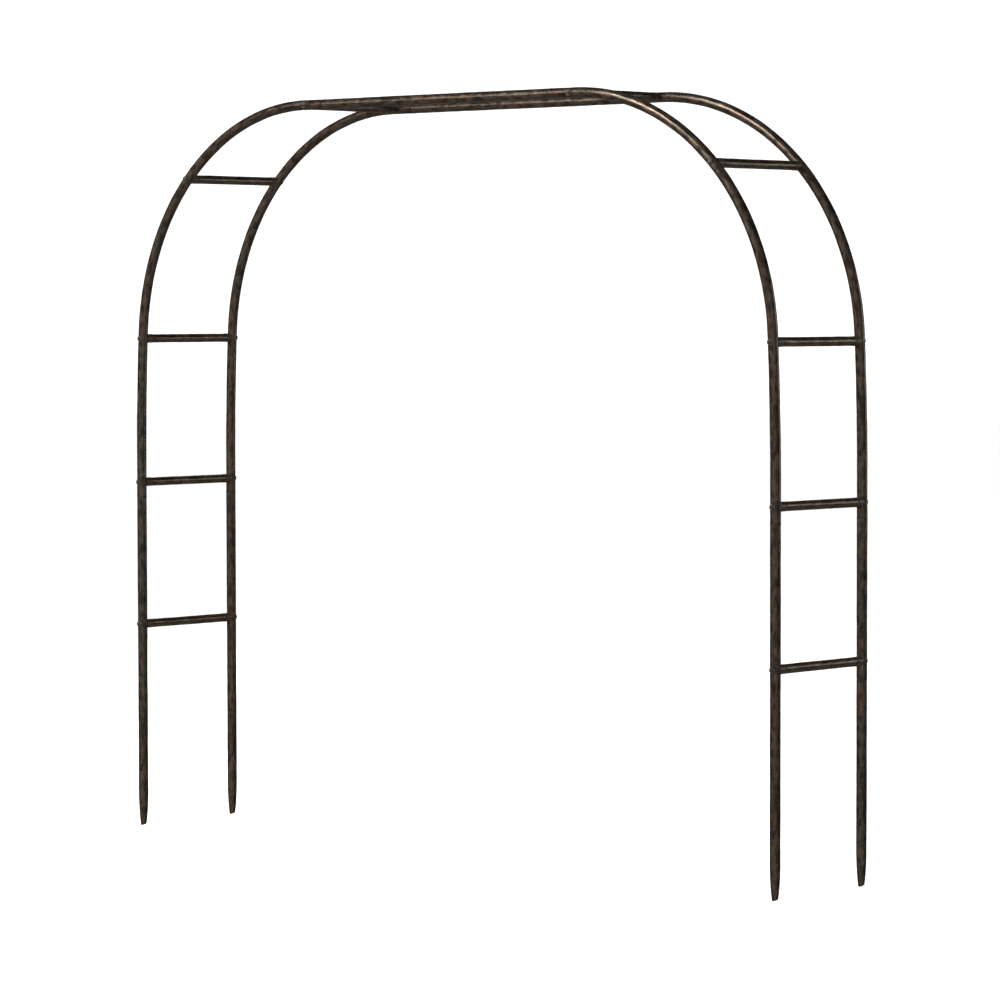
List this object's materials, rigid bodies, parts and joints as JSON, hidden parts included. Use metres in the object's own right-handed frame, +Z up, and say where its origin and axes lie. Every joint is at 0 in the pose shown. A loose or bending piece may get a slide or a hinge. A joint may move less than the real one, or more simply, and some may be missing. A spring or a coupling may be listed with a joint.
{
  "type": "garden arch",
  "caption": "Wide garden arch of round steel tube: a front and a rear hoop joined by ladder rungs at the sides, on spiked legs that push into soil.",
  "frame": {"origin": "on the ground midway between the four legs, at the centre of the bottom of the overall box", "axes": "+X across the arch from the left legs to the right legs, +Y from the front hoop to the rear hoop, +Z up"},
  "size_m": [2.6678, 0.4422, 2.332],
  "materials": {
    "hoop_tube": "antique-bronze hammered powder coat, satin",
    "rung_tube": "antique-bronze hammered powder coat, satin",
    "end_plug": "dark brown moulded nylon",
    "bolt": "bronze-lacquered steel, worn at the edges",
    "saddle_washer": "bronze-lacquered pressed steel",
    "nut": "zinc plated"
  },
  "bodies": {
    "root": {"front_left_leg": "hoop_tube", "front_right_leg": "hoop_tube", "rear_left_leg": "hoop_tube", "rear_right_leg": "hoop_tube", "front_left_shoulder": "hoop_tube", "front_right_shoulder": "hoop_tube", "rear_left_shoulder": "hoop_tube", "rear_right_shoulder": "hoop_tube", "front_top_bar": "hoop_tube", "rear_top_bar": "hoop_tube", "left_rung_1": "rung_tube", "left_rung_2": "rung_tube", "left_rung_3": "rung_tube", "left_rung_4": "rung_tube", "left_rung_5": "rung_tube", "right_rung_1": "rung_tube", "right_rung_2": "rung_tube", "right_rung_3": "rung_tube", "right_rung_4": "rung_tube", "right_rung_5": "rung_tube", "front_left_end_plugs": "end_plug", "front_left_bolts": "bolt", "front_left_saddle_washers": "saddle_washer", "front_left_nuts": "nut", "front_right_end_plugs": "end_plug", "front_right_bolts": "bolt", "front_right_saddle_washers": "saddle_washer", "front_right_nuts": "nut", "rear_left_end_plugs": "end_plug", "rear_left_bolts": "bolt", "rear_left_saddle_washers": "saddle_washer", "rear_left_nuts": "nut", "rear_right_end_plugs": "end_plug", "rear_right_bolts": "bolt", "rear_right_saddle_washers": "saddle_washer", "rear_right_nuts": "nut"}
  },
  "joints": []
}
